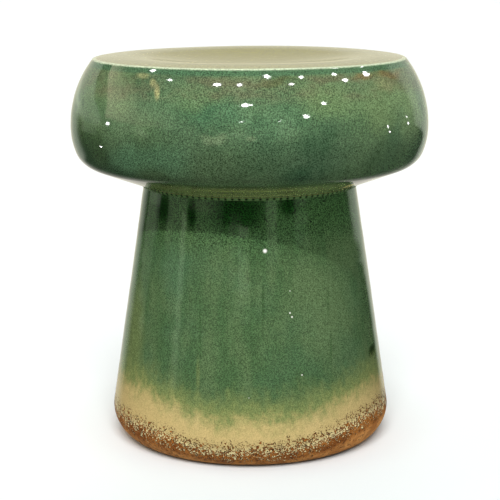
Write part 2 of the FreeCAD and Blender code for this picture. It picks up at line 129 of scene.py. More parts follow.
class Section:
    """Centres and tangent angles of the arcs that make up the stool's section."""

    def __init__(self):
        self.belly_height = NECK + BELLY_RISE
        self.disc_joint = CREST - DISC_EDGE
        self.disc_underside = CREST - DISC_THICKNESS
        self.crest_radius = SEAT_RADIUS - CREST_INSET
        self.mouth_radius = SEAT_RADIUS - MOUTH_INSET
        self.crown_centre = (self.crest_radius, CREST - CROWN_RADIUS)
        apart = (self.crest_radius**2 + DISH_DEPTH**2) / (2 * DISH_DEPTH)
        self.dish_radius = apart - CROWN_RADIUS
        self.dish_centre = (0.0, CREST - DISH_DEPTH + self.dish_radius)
        self.dish_angle = math.asin(self.crest_radius / apart)
        self.shoulder_centre = (SEAT_RADIUS - SHOULDER_RADIUS, self.belly_height)
        self.rim_centre = meeting(
            self.crown_centre, CROWN_RADIUS - RIM_ROUND, self.shoulder_centre, SHOULDER_RADIUS - RIM_ROUND
        )
        self.crown_end = direction(self.crown_centre, self.rim_centre)
        self.rim_end = direction(self.shoulder_centre, self.rim_centre)
        self.joint_angle = math.asin((self.disc_joint - self.belly_height) / SHOULDER_RADIUS)
        self.joint = on_circle(self.shoulder_centre, SHOULDER_RADIUS, self.joint_angle)
        self.belly_centre = (SEAT_RADIUS - BELLY_RADIUS, self.belly_height)
        self.neck = (NECK_RADIUS, NECK)
        base = on_circle(self.neck, TURN_RADIUS, UNDERSIDE_SLOPE + math.pi / 2)
        offset = (base[0] - self.belly_centre[0], base[1] - self.belly_centre[1])
        along = offset[0] * math.cos(UNDERSIDE_SLOPE) + offset[1] * math.sin(UNDERSIDE_SLOPE)
        reach = BELLY_RADIUS - TURN_RADIUS
        travel = math.sqrt(along**2 - offset[0] ** 2 - offset[1] ** 2 + reach**2) - along
        self.turn_centre = on_circle(base, travel, UNDERSIDE_SLOPE)
        self.belly_end = direction(self.belly_centre, self.turn_centre)
        self.turn_end = UNDERSIDE_SLOPE - math.pi / 2
        self.socket = self.inner_wall(NECK) + SOCKET_STEP
        centres_apart = HEEL_RADIUS - TOE_RADIUS
        heel_height = FOOT_LAND + TOE_RADIUS + centres_apart * math.sin(HEEL_TURN)
        self.heel_centre = (FOOT_RADIUS - HEEL_RADIUS, heel_height)
        self.toe_centre = on_circle(self.heel_centre, centres_apart, -HEEL_TURN)
        self.foot_inner = FOOT_RADIUS - FOOT_WIDTH

    def inner_wall(self, height):
        """The radius of the pedestal's inner wall at a height."""
        return NECK_RADIUS - PEDESTAL_WALL / math.cos(FLARE) + (NECK - height) * math.tan(FLARE)


section = Section()


class Stretch:
    """A stretch of an outline. A wavy one is glazed, and a smooth one runs on from the last one."""

    def __init__(self, points, wavy=False, smooth=False):
        self.points = points
        self.wavy = wavy
        self.smooth = smooth


def waviness(point):
    """How far the glazed skin stands out from a true surface of revolution. It dies out at the joints."""
    broad = noise.noise(point * 8.0) * 0.00040
    rings = noise.noise(Vector((point.x * 5, point.y * 5, point.z * 75))) * 0.00012
    ripple = noise.noise(point * 60.0) * 0.00005
    at_neck = min(1.0, abs(point.z - NECK) / 0.015)
    at_foot = min(1.0, max(0.0, (point.z - 0.018) / 0.02))
    return (broad + rings + ripple) * at_neck * at_foot


def thumb_marks(point):
    """The shallow dents that fingers leave in a coil pressed into a corner."""
    return -0.0006 * abs(noise.noise(point * 45.0)) - 0.0002 * abs(noise.noise(point * 130.0))


def outward(points, index):
    """The outward normal of an outline at one of its points, as radius and height."""
    before, after = points[max(index - 1, 0)], points[min(index + 1, len(points) - 1)]
    run, rise = after[0] - before[0], after[1] - before[1]
    length = math.hypot(run, rise)
    return -rise / length, run / length


def outline_rings(stretches):
    """The rings of an outline: radius, height, normal where wavy, and which gaps between them are glazed."""
    rings, bands, corners = [], [], set()
    for stretch in stretches:
        if rings and not stretch.smooth:
            corners.add(len(rings) - 1)
        for index, (radius, height) in enumerate(stretch.points):
            normal = outward(stretch.points, index) if stretch.wavy else None
            if index == 0 and rings:
                rings[-1][2] = rings[-1][2] or normal
                continue
            rings.append([radius, height, normal])
            if len(rings) > 1:
                bands.append(0 if stretch.wavy else 1)
    if math.dist(rings[0][:2], rings[-1][:2]) < 1e-7:
        rings[0][2] = rings[0][2] or rings[-1][2]
        rings.pop()
        corners.add(0)
    return rings, bands, corners


def lathe(name, stretches, segments, relief=waviness, rim_at=-1.0):
    """Turns an outline round the Z axis. An outline that runs clockwise faces outwards.

    Each vertex keeps its way along the outline from the rim, and how far the relief moved it."""
    rings, bands, corners = outline_rings(stretches)
    verts, along, moved, starts, counts = [], [], [], [], []
    way = -rim_at
    for j, (radius, height, normal) in enumerate(rings):
        if j:
            way += math.dist(rings[j - 1][:2], (radius, height))
        starts.append(len(verts))
        counts.append(1 if radius < 1e-7 else segments)
        for i in range(counts[-1]):
            turn = 2 * math.pi * i / segments
            x, y = math.cos(turn), math.sin(turn)
            out = relief(Vector((radius * x, radius * y, height))) if normal else 0.0
            r, z = (radius + normal[0] * out, height + normal[1] * out) if normal else (radius, height)
            if counts[-1] == 1:
                r = 0.0
            verts.append((r * x, r * y, z))
            along.append(way)
            moved.append(out)
    faces, slots = [], []
    for j, slot in enumerate(bands):
        k = (j + 1) % len(rings)
        for i in range(segments):
            n = (i + 1) % segments
            corners_round = [starts[j] + i % counts[j], starts[k] + i % counts[k]]
            if counts[k] > 1:
                corners_round.append(starts[k] + n)
            if counts[j] > 1:
                corners_round.append(starts[j] + n)
            faces.append(corners_round)
            slots.append(slot)
    mesh = bpy.data.meshes.new(name)
    mesh.from_pydata(verts, [], faces)
    mesh.polygons.foreach_set("material_index", slots)
    mesh.polygons.foreach_set("use_smooth", [True] * len(faces))
    for attribute, values in (("along", along), ("moved", moved)):
        mesh.attributes.new(attribute, "FLOAT", "POINT").data.foreach_set("value", values)
    sharp_verts = set()
    for j in corners:
        sharp_verts.update(range(starts[j], starts[j] + counts[j]))
    ring_of = [j for j, count in enumerate(counts) for _ in range(count)]
    for edge in mesh.edges:
        a, b = edge.vertices
        edge.use_edge_sharp = a in sharp_verts and ring_of[a] == ring_of[b]
    mesh.update()
    piece = bpy.data.objects.new(name, mesh)
    bpy.context.scene.collection.objects.link(piece)
    return piece


def length_of(points):
    return sum(math.dist(a, b) for a, b in zip(points, points[1:]))


def make_seat_disc():
    s = section
    quarter = math.pi / 2
    dish_end = s.dish_angle - quarter
    plug = s.mouth_radius - JOINT_GAP
    flat_end = (s.crest_radius, s.disc_underside)
    dish = arc(s.dish_centre, s.dish_radius, -quarter, dish_end, 0.003)
    land = arc(s.crown_centre, CROWN_RADIUS, dish_end + math.pi, s.crown_end)
    rim = arc(s.rim_centre, RIM_ROUND, s.crown_end, s.rim_end, 0.0005)
    return lathe("seat_disc_glazed", [
        Stretch(dish, wavy=True),
        Stretch(land, wavy=True, smooth=True),
        Stretch(rim, wavy=True, smooth=True),
        Stretch(arc(s.shoulder_centre, SHOULDER_RADIUS, s.rim_end, s.joint_angle), wavy=True, smooth=True),
        Stretch(line(s.joint, (plug, s.disc_joint))),
        Stretch(line((plug, s.disc_joint), (plug, s.disc_underside))),
        Stretch(line((plug, s.disc_underside), flat_end)),
        Stretch(arc(s.crown_centre, CROWN_RADIUS - DISC_THICKNESS, quarter, dish_end + math.pi, PLAIN_STEP)),
        Stretch(arc(s.dish_centre, s.dish_radius + DISC_THICKNESS, dish_end, -quarter, PLAIN_STEP), smooth=True),
    ], SEAT_SEGMENTS, rim_at=length_of(dish) + length_of(land) + length_of(rim) / 2)


def make_seat_bowl():
    s = section
    spigot = s.socket - JOINT_GAP
    throat = spigot - SPIGOT_WALL
    spigot_end = NECK - SPIGOT_HEIGHT
    turn_inside = TURN_RADIUS - SEAT_WALL
    underside_start = on_circle(s.turn_centre, TURN_RADIUS, s.turn_end)
    floor_start = on_circle(s.turn_centre, turn_inside, s.turn_end)
    throat_top = (throat, floor_start[1] - (floor_start[0] - throat) * math.tan(UNDERSIDE_SLOPE))
    inside = SHOULDER_RADIUS - SEAT_WALL
    lip = (s.mouth_radius, s.disc_joint - LIP_DEPTH)
    lip_angle = lip_foot_angle(inside)
    lip_foot = on_circle(s.shoulder_centre, inside, lip_angle)
    below_rim = SHOULDER_RADIUS * (s.rim_end - s.joint_angle) + RIM_ROUND * (s.crown_end - s.rim_end) / 2
    return lathe("seat_bowl_glazed", [
        Stretch(arc(s.shoulder_centre, SHOULDER_RADIUS, s.joint_angle, 0.0), wavy=True),
        Stretch(arc(s.belly_centre, BELLY_RADIUS, 0.0, s.belly_end), wavy=True, smooth=True),
        Stretch(arc(s.turn_centre, TURN_RADIUS, s.belly_end, s.turn_end), wavy=True, smooth=True),
        Stretch(line(underside_start, s.neck, SKIN_STEP), wavy=True, smooth=True),
        Stretch(line(s.neck, (spigot, NECK))),
        Stretch(line((spigot, NECK), (spigot, spigot_end))),
        Stretch(line((spigot, spigot_end), (throat, spigot_end))),
        Stretch(line((throat, spigot_end), throat_top)),
        Stretch(line(throat_top, floor_start)),
        Stretch(arc(s.turn_centre, turn_inside, s.turn_end, s.belly_end, PLAIN_STEP), smooth=True),
        Stretch(arc(s.belly_centre, BELLY_RADIUS - SEAT_WALL, s.belly_end, 0.0, PLAIN_STEP), smooth=True),
        Stretch(arc(s.shoulder_centre, inside, 0.0, lip_angle, PLAIN_STEP), smooth=True),
        Stretch(line(lip_foot, lip)),
        Stretch(line(lip, (s.mouth_radius, s.disc_joint))),
        Stretch(line((s.mouth_radius, s.disc_joint), s.joint)),
    ], SEAT_SEGMENTS, rim_at=-below_rim)


def lip_foot_angle(inside):
    """Where a 45 degree slope down and out from the lip meets the inner wall, as an angle of its arc."""
    s = section
    lip = (s.mouth_radius, s.disc_joint - LIP_DEPTH)
    across = lip[0] - s.shoulder_centre[0]
    up = lip[1] - s.belly_height
    root = math.sqrt(0.5)
    gap = (across - up) * root
    reach = math.sqrt(inside**2 - ((across + up) * root) ** 2)
    travel = reach - gap
    return math.atan2(up - travel * root, across + travel * root)


def make_pedestal():
    s = section
    side_end = on_circle(s.heel_centre, HEEL_RADIUS, FLARE)
    land_start = (s.toe_centre[0], FOOT_LAND)
    land_end = (s.foot_inner, FOOT_LAND)
    face_end = (s.foot_inner, FOOT_LAND + FOOT_FACE)
    run = (s.inner_wall(face_end[1]) - face_end[0]) / (1 + math.tan(FLARE))
    slope_end = (face_end[0] + run, face_end[1] + run)
    socket_floor = (s.socket, NECK - SOCKET_STEP / math.tan(FLARE))
    return lathe("pedestal_glazed", [
        Stretch(line(s.neck, side_end, SKIN_STEP), wavy=True),
        Stretch(arc(s.heel_centre, HEEL_RADIUS, FLARE, -HEEL_TURN), wavy=True, smooth=True),
        Stretch(arc(s.toe_centre, TOE_RADIUS, -HEEL_TURN, -math.pi / 2), wavy=True, smooth=True),
        Stretch(line(land_start, land_end), smooth=True),
        Stretch(line(land_end, face_end)),
        Stretch(line(face_end, slope_end)),
        Stretch(line(slope_end, socket_floor)),
        Stretch(line(socket_floor, (s.socket, NECK))),
        Stretch(line((s.socket, NECK), s.neck)),
    ], PEDESTAL_SEGMENTS)


def make_coil(name, corner, slope):
    """A hand-pressed coil in a corner: a level top, a side against the wall and a round face."""
    down = slope - math.pi / 2
    return lathe(name, [
        Stretch(line((corner[0] - COIL_RADIUS, corner[1]), corner)),
        Stretch(line(corner, on_circle(corner, COIL_RADIUS, down))),
        Stretch(arc(corner, COIL_RADIUS, down, -math.pi, 0.001), wavy=True),
    ], COIL_SEGMENTS, relief=thumb_marks)


def make_foot_ring():
    low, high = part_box("foot_ring")[0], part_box("foot_ring")[1]
    outer = section.foot_inner - JOINT_GAP
    inner = outer - RING_WIDTH
    centre = (inner + RING_ROUND, high.z - RING_ROUND)
    return lathe("foot_ring_clay", [
        Stretch(line((outer, high.z), (outer, low.z))),
        Stretch(line((outer, low.z), (inner, low.z))),
        Stretch(line((inner, low.z), (inner, centre[1]), 0.001), wavy=True),
        Stretch(arc(centre, RING_ROUND, math.pi, math.pi / 2, 0.001), wavy=True, smooth=True),
        Stretch(line((centre[0], high.z), (outer, high.z), 0.001), wavy=True, smooth=True),
    ], COIL_SEGMENTS, relief=thumb_marks)


def make_neck_bead():
    """The bead in the corner under the seat, with a row of small dimples pressed into it."""
    spread = JOINT_GAP / math.cos(UNDERSIDE_SLOPE - FLARE)
    corner = (
        NECK_RADIUS + spread * (math.sin(FLARE) + math.cos(UNDERSIDE_SLOPE)),
        NECK + spread * (math.sin(UNDERSIDE_SLOPE) - math.cos(FLARE)),
    )
    upper = on_circle(corner, BEAD_REACH, UNDERSIDE_SLOPE)
    lower = on_circle(corner, BEAD_DROP, FLARE - math.pi / 2)
    depth = math.sqrt(BEAD_ROUND**2 - (math.dist(upper, lower) / 2) ** 2)
    middle = ((upper[0] + lower[0]) / 2, (upper[1] + lower[1]) / 2)
    centre = on_circle(middle, depth, direction(lower, upper) + math.pi / 2)
    face = arc(centre, BEAD_ROUND, direction(centre, upper), direction(centre, lower), 0.0004)
    height = face[len(face) // 3][1]

    def dimples(point):
        turn = math.atan2(point.y, point.x) / (2 * math.pi) * DIMPLES
        aside = (turn - math.floor(turn) - 0.5) * 2 * math.pi * NECK_RADIUS / DIMPLES
        return -DIMPLE_DEPTH * math.exp(-(aside**2 + (point.z - height) ** 2) / DIMPLE_RADIUS**2)

    return lathe("neck_bead_glazed", [
        Stretch(line(corner, upper, 0.001)),
        Stretch(face, wavy=True),
        Stretch(line(lower, corner, 0.001)),
    ], DIMPLES * 8, relief=dimples)


def make_pad(node):
    """A rubber bumper: a round pad with a softened edge."""
    low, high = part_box(node)
    radius = (high.x - low.x) / 2
    pad = lathe(node + "_rubber", [
        Stretch([(0.0, high.z), (radius * 0.5, high.z), (radius, high.z)]),
        Stretch(line((radius, high.z), (radius, low.z + PAD_SOFTENING), 0.0007)),
        Stretch(arc((radius - PAD_SOFTENING, low.z + PAD_SOFTENING), PAD_SOFTENING, 0.0, -math.pi / 2, 0.0002),
                smooth=True),
        Stretch([(radius - PAD_SOFTENING, low.z), (radius * 0.5, low.z), (0.0, low.z)], smooth=True),
    ], 48)
    pad.data.transform(Matrix.Translation(((low.x + high.x) / 2, (low.y + high.y) / 2, 0.0)))
    return pad


def srgb(red, green, blue):
    """A display colour, 0 to 255, as the linear colour that a shader takes."""
    shares = [value / 255 for value in (red, green, blue)]
    return (*[s / 12.92 if s <= 0.04045 else ((s + 0.055) / 1.055) ** 2.4 for s in shares], 1.0)


class Shader:
    """One node tree. What a node is fed is a socket, which is linked, or a value, which is set."""

    def __init__(self, name, kind="materials"):
        self.owner = getattr(bpy.data, kind).new(name)
        self.owner.use_nodes = True
        self.tree = self.owner.node_tree
        self.place = self.node("TexCoord", out="Object" if kind == "materials" else "Generated")
        if kind == "materials":
            self.surface = self.tree.nodes["Principled BSDF"].inputs

    def feed(self, socket, value):
        if isinstance(value, bpy.types.NodeSocket):
            self.tree.links.new(value, socket)
        elif value is not None:
            socket.default_value = value

    def node(self, kind, *values, out=0, named=(), **settings):
        node = self.tree.nodes.new("ShaderNode" + kind)
        for key, value in settings.items():
            setattr(node, key, value)
        for socket, value in zip(node.inputs, values):
            self.feed(socket, value)
        for socket, value in dict(named).items():
            self.feed(node.inputs[socket], value)
        return node.outputs[out]

    def noise(self, scale, detail=2.0, roughness=0.5, distortion=0.0, at=None, out="Fac"):
        named = {"Vector": at or self.place, "Scale": scale, "Detail": detail, "Roughness": roughness,
                 "Distortion": distortion}
        return self.node("TexNoise", named=named, out=out)

    def smooth(self, value, low, high, to_low=0.0, to_high=1.0):
        """An S-shaped step from low to high."""
        return self.node("MapRange", value, low, high, to_low, to_high, interpolation_type="SMOOTHSTEP")

    def math(self, operation, *values, clamp=False):
        return self.node("Math", *values, operation=operation, use_clamp=clamp)

    def times(self, *values):
        product = values[0]
        for value in values[1:]:
            product = self.math("MULTIPLY", product, value)
        return product

    def plus(self, *values):
        total = values[0]
        for value in values[1:]:
            total = self.math("ADD", total, value)
        return total

    def window(self, value, low, high, soft):
        """1 between low and high, dying out over soft on each side."""
        return self.times(self.smooth(value, low - soft, low), self.smooth(value, high, high + soft, 1.0, 0.0))

    def vector(self, operation, *values, out=0):
        return self.node("VectorMath", *values, operation=operation, out=out)

    def split(self, vector):
        node = self.tree.nodes.new("ShaderNodeSeparateXYZ")
        self.feed(node.inputs[0], vector)
        return node.outputs[0], node.outputs[1], node.outputs[2]

    def mix(self, factor, first, second, blend="MIX"):
        named = {0: factor, 6: first, 7: second}
        return self.node("Mix", named=named, out=2, data_type="RGBA", blend_type=blend)

    def patch(self, centre, reach, at=None):
        """1 at a centre in the object's space, falling to 0 at a reach given for X, Y and Z."""
        offset = self.vector("SUBTRACT", at or self.place, centre)
        scaled = self.vector("DIVIDE", offset, reach)
        return self.smooth(self.vector("LENGTH", scaled, out="Value"), 0.25, 1.0, 1.0, 0.0)

    def attribute(self, name):
        return self.node("Attribute", out="Fac", attribute_name=name)

    def bump(self, height_in_mm):
        self.feed(self.surface["Normal"], self.node("Bump", named={"Height": height_in_mm, "Distance": 0.001}))

    def finish(self, colour, roughness, **uniform):
        self.feed(self.surface["Base Color"], colour)
        self.feed(self.surface["Roughness"], roughness)
        for socket, value in uniform.items():
            self.surface[socket.replace("_", " ")].default_value = value
        return self.owner


def on_skin(azimuth, height, radius):
    """A place on the skin, from its angle round from the front (positive to the right), height and radius."""
    turn = math.radians(azimuth)
    return (radius * math.sin(turn), -radius * math.cos(turn), height)


def speckle(s):
    """The fine wormy mottle of the crystals in the glaze, from dark to light."""
    fine = s.noise(850, detail=1.0, roughness=0.6, distortion=0.6)
    worms = s.math("ABSOLUTE", s.math("SUBTRACT", s.noise(430, detail=1.0, roughness=0.5), 0.5))
    threads = s.smooth(worms, 0.0, 0.06, 1.0, 0.0)
    return s.plus(s.smooth(fine, 0.36, 0.64, -0.6, 0.6), s.times(threads, 0.55), -0.15)


def seat_glaze(name, patches, chips, dimpled=False):
    s = Shader(name)
    x, y, z = s.split(s.place)
    drift = s.vector("MULTIPLY_ADD", s.noise(14, detail=3, out="Color"), (0.07, 0.07, 0.05), (-0.035, -0.035, -0.025))
    loose = s.vector("ADD", s.place, drift)
    broad = s.noise(7, detail=2, roughness=0.5)
    cloud = s.noise(19, detail=4, roughness=0.6, distortion=0.3)
    colour = s.mix(s.smooth(cloud, 0.30, 0.72), CAP_DEEP, CAP_MID)
    colour = s.mix(s.times(s.smooth(broad, 0.42, 0.62), 0.45), colour, CAP_OLIVE)
    for centre, reach, tint, share in patches:
        at = loose if max(reach[0], reach[2]) > SMALL_PATCH else s.place
        colour = s.mix(s.times(s.patch(centre, reach, at), share), colour, tint)
    colour = s.mix(s.window(z, 0.404, 0.416, 0.006), colour, CAP_HIGH, blend="MULTIPLY")
    # Painted shade: the seat's side is darkened below its belly, where less light reaches it.
    belly_shade_mask = s.smooth(s.plus(z, s.times(s.noise(10, detail=2), 0.03)), 0.345, 0.405)
    colour = s.mix(s.math("SUBTRACT", 1.0, belly_shade_mask), colour, CAP_BELLY_SHADE, blend="MULTIPLY")
    wisps = s.noise(26, detail=5, roughness=0.65, at=s.vector("MULTIPLY", s.place, (1.0, 1.0, 2.2)))
    iron = s.times(s.window(z, 0.401, 0.415, 0.010), s.smooth(wisps, 0.38, 0.64))
    colour = s.mix(s.times(iron, 0.5), colour, CAP_RUST)
    under = s.smooth(z, 0.303, 0.312, 1.0, 0.0)
    along = s.attribute("along")
    band = s.times(s.window(along, 0.0008, 0.006, 0.003), 0.8)
    colour = s.mix(band, colour, CAP_BAND)
    top = s.smooth(along, -0.002, -0.0005, 1.0, 0.0)
    radius = s.vector("LENGTH", s.vector("MULTIPLY", s.place, (1.0, 1.0, 0.0)), out="Value")
    turning = s.noise(170, detail=2, roughness=0.6, at=s.node("CombineXYZ", radius, 0.0, 0.0))
    colour = s.mix(s.times(under, 0.85), colour, s.mix(s.smooth(turning, 0.4, 0.6), UNDER_DEEP, UNDER_PALE))
    from_pool = s.vector("MULTIPLY", s.vector("SUBTRACT", s.place, POOL_CENTRE), (1.0, 1.0, 0.0))
    pool = s.vector("LENGTH", from_pool, out="Value")
    pool = s.smooth(s.plus(pool, s.times(cloud, 0.03)), 0.120, 0.178, 1.0, 0.0)
    dish = s.mix(pool, DISH_LAND, DISH_POOL)
    dish = s.mix(s.smooth(cloud, 0.4, 0.7, 0.0, 0.15), dish, DISH_DARK)
    colour = s.mix(top, colour, dish)
    # A pale line along the rim: partly the glaze thinning there, partly a painted highlight.
    rim_thin_and_highlight = s.times(s.smooth(along, -0.0038, -0.0030), s.smooth(along, -0.0008, 0.0021, 1.0, 0.0))
    colour = s.mix(rim_thin_and_highlight, colour, RIM_PALE_AND_HIGHLIGHT)
    grain = speckle(s)
    strength = s.plus(1.0, s.times(grain, s.plus(0.75, s.times(top, -0.25), s.times(under, -0.45))))
    colour = s.mix(1.0, colour, s.node("CombineColor", strength, strength, strength), blend="MULTIPLY")
    if dimpled:
        pooled = s.smooth(s.attribute("moved"), -0.8 * DIMPLE_DEPTH, -0.25 * DIMPLE_DEPTH, 0.92, 0.0)
        colour = s.mix(0.8, colour, BEAD_GREEN)
        colour = s.mix(pooled, colour, DIMPLE_COLOUR)
    for centre, reach in chips:
        colour = s.mix(s.patch(centre, reach), colour, CHIP)
    ripple = s.noise(75, detail=2, roughness=0.5)
    s.bump(s.plus(s.times(ripple, 0.02), s.times(grain, 0.002)))
    roughness = s.plus(0.035, s.times(cloud, 0.03), s.times(top, 0.09))
    return s.finish(colour, roughness, IOR=1.5)


def pedestal_glaze(patches, shade_spots, flecks):
    s = Shader("pedestal_glaze_look")
    x, y, z = s.split(s.place)
    away = s.vector("NORMALIZE", s.vector("MULTIPLY", s.place, (1.0, 1.0, 0.0)))
    running = s.vector("ADD", away, s.vector("MULTIPLY", s.place, (0.0, 0.0, 2.4)))
    streaks = s.noise(7, detail=4, roughness=0.6, at=running)
    cloud = s.noise(17, detail=4, roughness=0.6, distortion=0.3)
    broad = s.noise(6, detail=2, roughness=0.5)
    grain = speckle(s)
    colour = s.mix(s.smooth(streaks, 0.35, 0.65), FOOT_DEEP, FOOT_MID)
    colour = s.mix(s.times(s.smooth(cloud, 0.42, 0.68), 0.3), colour, FOOT_TEAL)
    for centre, reach, tint, share in patches:
        colour = s.mix(s.times(s.patch(centre, reach), share), colour, tint)
    # Deeper green at the top of the pedestal: partly thicker glaze, partly painted shade where the seat's shadow falls.
    colour = s.mix(s.smooth(s.plus(z, s.times(broad, 0.06)), 0.227, 0.300, 0.0, 0.9), colour, NECK_DEEP_AND_SHADE)
    # Painted shade: the darkest spots inside the seat's shadow on the pedestal.
    for centre, reach in shade_spots:
        colour = s.mix(s.times(s.patch(centre, reach), 0.9), colour, NECK_DARK_MARK_AND_SHADE)

    left = s.smooth(x, -0.15, -0.02, 1.0, 0.0)
    right = s.smooth(x, 0.03, 0.15)
    lift = s.plus(s.times(left, -0.015), s.times(right, -0.021), s.times(broad, -0.014), 0.006)
    level = s.plus(z, lift)
    fringe = s.noise(34, detail=4, roughness=0.65, at=s.vector("MULTIPLY", s.place, (1.0, 1.0, 0.8)))
    tips = s.noise(150, detail=3, roughness=0.6, at=s.vector("MULTIPLY", s.place, (1.0, 1.0, 0.7)))
    fade = s.plus(z, s.times(left, -0.023), s.times(right, -0.021), s.times(fringe, 0.032), s.times(tips, 0.032), -0.029)
    green = s.smooth(fade, 0.026, 0.110)
    cream = s.mix(s.smooth(level, 0.012, 0.030, 1.0, 0.0), CREAM, CREAM_BEADS)
    blend = s.mix(s.smooth(green, 0.0, 0.55), cream, FOOT_YELLOW)
    colour = s.mix(s.smooth(green, 0.25, 1.0), blend, colour)
    coarse = s.plus(0.14, s.times(green, 0.48), s.smooth(z, 0.22, 0.26, 0.0, 0.5))
    strength = s.plus(1.0, s.times(grain, coarse))
    colour = s.mix(1.0, colour, s.node("CombineColor", strength, strength, strength), blend="MULTIPLY")

    crawl = s.noise(360, detail=0.6, roughness=0.5, distortion=1.6)
    blots = s.noise(95, detail=2, roughness=0.5)
    steep = s.plus(s.smooth(level, 0.030, 0.046, 0.0, 0.4), s.smooth(level, 0.002, 0.009, -0.3, 0.0))
    cover = s.plus(s.smooth(level, 0.006, 0.036, -0.15, 0.15), steep, crawl, s.times(blots, 0.08), -0.072)
    glazed = s.smooth(cover, 0.49, 0.51)
    # Darker clay beside the crawled glaze: partly burnt clay, partly painted shadow at the beads' edges.
    beside_glaze_burn_and_shadow = s.smooth(cover, 0.36, 0.47)
    clay_cloud = s.noise(45, detail=4, roughness=0.6)
    clay = s.mix(s.smooth(clay_cloud, 0.35, 0.65), CLAY_DARK, CLAY_LIGHT)
    clay = s.mix(s.smooth(level, 0.002, 0.009), clay, CLAY_ZONE, blend="MULTIPLY")
    clay = s.mix(beside_glaze_burn_and_shadow, clay, CLAY_BURNT_AND_SHADOW)
    iron = s.smooth(s.noise(330, detail=2, roughness=0.6), 0.52, 0.66)
    clay = s.mix(s.times(iron, 0.7), clay, IRON_SPECK)
    colour = s.mix(glazed, clay, colour)
    for centre, reach in flecks:
        colour = s.mix(s.patch(centre, (reach, reach, reach)), colour, FLECK)
    ripple = s.noise(75, detail=2, roughness=0.5)
    clay_grit = s.noise(500, detail=3, roughness=0.7)
    relief = s.mix(glazed, s.plus(s.times(clay_grit, 0.12)), s.plus(s.times(ripple, 0.05), s.times(grain, 0.0025), 0.35))
    s.bump(relief)
    roughness = s.smooth(green, 0.0, 1.0, 0.20, 0.05)
    roughness = s.plus(s.times(glazed, roughness), s.times(s.math("SUBTRACT", 1.0, glazed), 0.75))
    return s.finish(colour, roughness, IOR=1.5)


def raw_clay():
    s = Shader("raw_clay_look")
    cloud = s.noise(40, detail=4, roughness=0.6)
    grit = s.noise(500, detail=3, roughness=0.7)
    colour = s.mix(s.smooth(cloud, 0.35, 0.65), CLAY_DARK, CLAY_LIGHT)
    colour = s.mix(s.smooth(s.noise(260, detail=2), 0.6, 0.68, 0.0, 0.6), colour, IRON_SPECK)
    s.bump(s.times(grit, 0.15))
    return s.finish(colour, s.smooth(cloud, 0.3, 0.7, 0.7, 0.85), IOR=1.45)


def pad_rubber():
    s = Shader("pad_rubber_look")
    grain = s.noise(900, detail=2, roughness=0.6)
    colour = s.mix(grain, (0.012, 0.012, 0.012, 1.0), (0.03, 0.029, 0.028, 1.0))
    s.bump(s.times(grain, 0.04))
    return s.finish(colour, s.smooth(grain, 0.3, 0.7, 0.6, 0.8), IOR=1.5)


def make_camera():
    data = bpy.data.cameras.new("camera")
    data.sensor_width = 36
    data.lens = 108
    camera = bpy.data.objects.new("camera", data)
    bpy.context.scene.collection.objects.link(camera)
    camera.location = CAMERA_PLACE
    camera.rotation_euler = CAMERA_TURN.to_euler()
    bpy.context.scene.camera = camera
    bpy.context.scene.view_settings.view_transform = "Standard"


def through_pixel(pixel_x, pixel_y):
    """The direction in which the camera looks through a pixel of the photograph."""
    ray = Vector((pixel_x - 250, 250 - pixel_y, -FOCAL_PIXELS)).normalized()
    return CAMERA_TURN @ ray


def mirrored(pixel_x, pixel_y):
    """The place on the stool that a pixel shows, and the direction that the skin mirrors there."""
    ray = through_pixel(pixel_x, pixel_y)
    hits = [tree.ray_cast(Vector(CAMERA_PLACE), ray) for tree in SKIN_TREES]
    place, normal = min((hit[:2] for hit in hits if hit[0]), key=lambda hit: (hit[0] - Vector(CAMERA_PLACE)).length)
    return place, ray.reflect(normal)


def make_lamp(name, kind, place, power, aim=None, glossy=True, diffuse=True, **settings):
    data = bpy.data.lights.new(name, kind)
    data.energy = power
    for key, value in settings.items():
        setattr(data, key, value)
    lamp = bpy.data.objects.new(name, data)
    bpy.context.scene.collection.objects.link(lamp)
    lamp.location = place
    if aim is not None:
        lamp.rotation_euler = (Vector(place) - Vector(aim)).to_track_quat("Z", "Y").to_euler()
    lamp.visible_camera = False
    lamp.visible_glossy = glossy
    lamp.visible_diffuse = diffuse
    return lamp


def light_only(lamps, pieces, name):
    """Limits lamps to some of the pieces."""
    lit = bpy.data.collections.new(name)
    for piece in pieces:
        lit.objects.link(piece)
    for lamp in lamps:
        lamp.light_linking.receiver_collection = lit


def shaded_by(lamps, pieces, name):
    """Lets only some of the pieces cast a shadow from lamps."""
    blockers = bpy.data.collections.new(name)
    for piece in pieces:
        blockers.objects.link(piece)
    for lamp in lamps:
        lamp.light_linking.blocker_collection = blockers


def make_glints():
    """Small ceiling lamps, placed so that the seat mirrors each where the photograph shows a glint."""
    lamps = []
    for number, (pixel_x, pixel_y, size) in enumerate(GLINTS, start=1):
        place, way = mirrored(pixel_x, pixel_y)
        power = GLINT_RADIANCE * 4 * math.pi**2 * size**2
        lamp = make_lamp(f"glint_{number}", "POINT", place + way * 3.0, power, diffuse=False, shadow_soft_size=size)
        lamps.append(lamp)
    for number, (pixel_x, pixel_y, size) in enumerate(RIM_GLINTS, start=1):
        place, from_land = mirrored(pixel_x, pixel_y - 0.8)
        from_side = mirrored(pixel_x, pixel_y + 0.8)[1]
        way = (from_land + from_side).normalized()
        power = GLINT_RADIANCE * 4 * math.pi**2 * size**2
        lamp = make_lamp(f"rim_glint_{number}", "POINT", place + way * 3.0, power, diffuse=False, shadow_soft_size=size)
        lamps.append(lamp)
    light_only(lamps, (disc, bowl), "seat_only")


